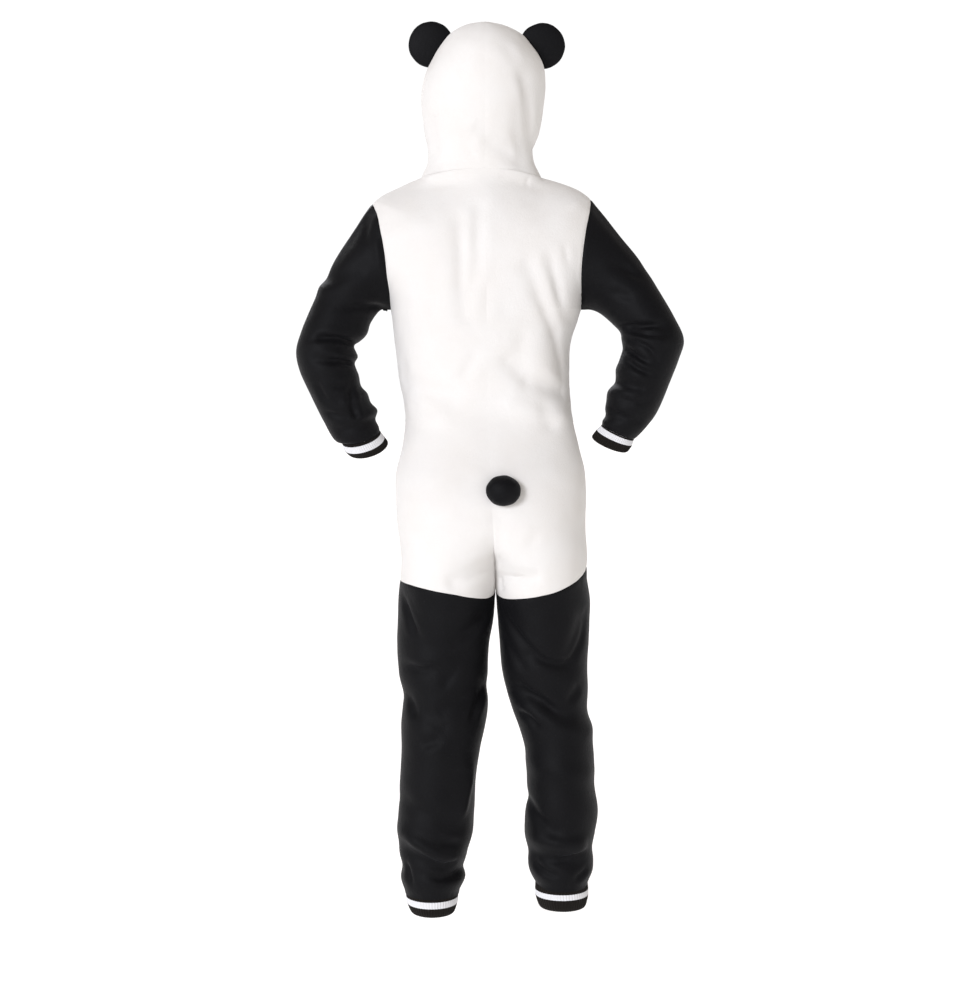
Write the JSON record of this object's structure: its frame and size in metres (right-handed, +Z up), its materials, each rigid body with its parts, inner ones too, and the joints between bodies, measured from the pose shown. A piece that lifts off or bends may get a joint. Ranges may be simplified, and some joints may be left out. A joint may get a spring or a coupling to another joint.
{
  "type": "panda onesie",
  "caption": "Hooded fleece onesie in worn form: white body and hood, black sleeves and legs, round ears, ball tail, ribbed cuffs with one white stripe and a front zip.",
  "frame": {"origin": "between the shoulders at the height of the neck, where the wearer holds the garment up", "axes": "+Z up; the front faces -Y and the back +Y; the wearer's left is +X"},
  "size_m": [0.59, 0.2394, 1.3757],
  "materials": {
    "white_fleece": "soft brushed white fleece",
    "black_fleece": "soft brushed black fleece",
    "black_rib_knit": "ribbed black knit with one white stripe",
    "zip_tape": "woven white zip tape with moulded teeth",
    "zip_metal": "white lacquered zip slider and pull tab"
  },
  "bodies": {
    "garment": {"back_left": "white_fleece", "back_right": "white_fleece", "front_left": "white_fleece", "front_right": "white_fleece", "hood_left": "white_fleece", "hood_right": "white_fleece", "sleeve_left": "black_fleece", "sleeve_right": "black_fleece", "leg_left": "black_fleece", "leg_right": "black_fleece", "ear_left": "black_fleece", "ear_right": "black_fleece", "tail": "black_fleece", "sleeve_cuff_left": "black_rib_knit", "sleeve_cuff_right": "black_rib_knit", "ankle_cuff_left": "black_rib_knit", "ankle_cuff_right": "black_rib_knit", "zip_tape": "zip_tape", "zip_slider": "zip_metal"},
    "zip_pull": {"zip_pull": "zip_metal"}
  },
  "joints": [
    {"name": "zip_pull_swing", "type": "hinge", "parent": "garment", "child": "zip_pull", "pos_m": [-0.00511, -0.08244, -0.06375], "axis": [-1, 0, 0], "range_deg": [0, 150]}
  ]
}
